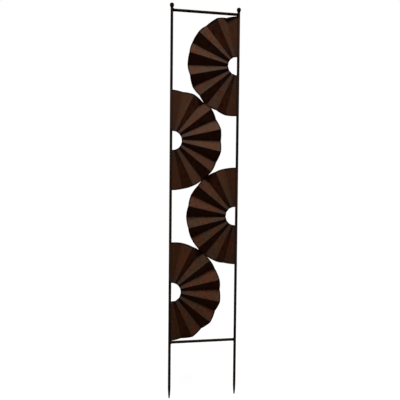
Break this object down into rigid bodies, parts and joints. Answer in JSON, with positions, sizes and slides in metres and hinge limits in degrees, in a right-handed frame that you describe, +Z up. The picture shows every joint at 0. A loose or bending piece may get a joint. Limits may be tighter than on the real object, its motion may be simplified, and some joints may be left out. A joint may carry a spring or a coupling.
{
  "type": "garden trellis",
  "caption": "Tall narrow iron garden trellis: staked round posts with ball finials, crossbars and alternating pleated half-round sheet fans.",
  "frame": {"origin": "midway between the two stake tips, at their level", "axes": "+Z up along the posts, +X from the left post to the right post as the viewer sees it, +Y away from the viewer"},
  "size_m": [0.3328, 0.0328, 1.8288],
  "materials": {
    "frame_bar": "satin dark brown over solid round bar",
    "fan_sheet": "satin bronze brown over folded sheet, lightly mottled",
    "weld_bead": "satin dark brown over weld beads"
  },
  "bodies": {
    "root": {"left_post": "frame_bar", "right_post": "frame_bar", "top_crossbar": "frame_bar", "bottom_crossbar": "frame_bar", "left_ball_finial": "frame_bar", "right_ball_finial": "frame_bar", "pleated_fan_1": "fan_sheet", "pleated_fan_2": "fan_sheet", "pleated_fan_3": "fan_sheet", "pleated_fan_4": "fan_sheet", "top_crossbar_left_weld": "weld_bead", "top_crossbar_right_weld": "weld_bead", "bottom_crossbar_left_weld": "weld_bead", "bottom_crossbar_right_weld": "weld_bead", "left_finial_weld": "weld_bead", "right_finial_weld": "weld_bead", "fan_1_edge_tack_1": "weld_bead", "fan_1_edge_tack_2": "weld_bead", "fan_1_edge_tack_3": "weld_bead", "fan_1_edge_tack_4": "weld_bead", "fan_2_edge_tack_1": "weld_bead", "fan_2_edge_tack_2": "weld_bead", "fan_2_edge_tack_3": "weld_bead", "fan_2_edge_tack_4": "weld_bead", "fan_3_edge_tack_1": "weld_bead", "fan_3_edge_tack_2": "weld_bead", "fan_3_edge_tack_3": "weld_bead", "fan_3_edge_tack_4": "weld_bead", "fan_4_edge_tack_1": "weld_bead", "fan_4_edge_tack_2": "weld_bead", "fan_4_edge_tack_3": "weld_bead", "fan_4_edge_tack_4": "weld_bead", "rim_weld_1_2": "weld_bead", "rim_weld_2_3": "weld_bead", "rim_weld_3_4": "weld_bead"}
  },
  "joints": []
}
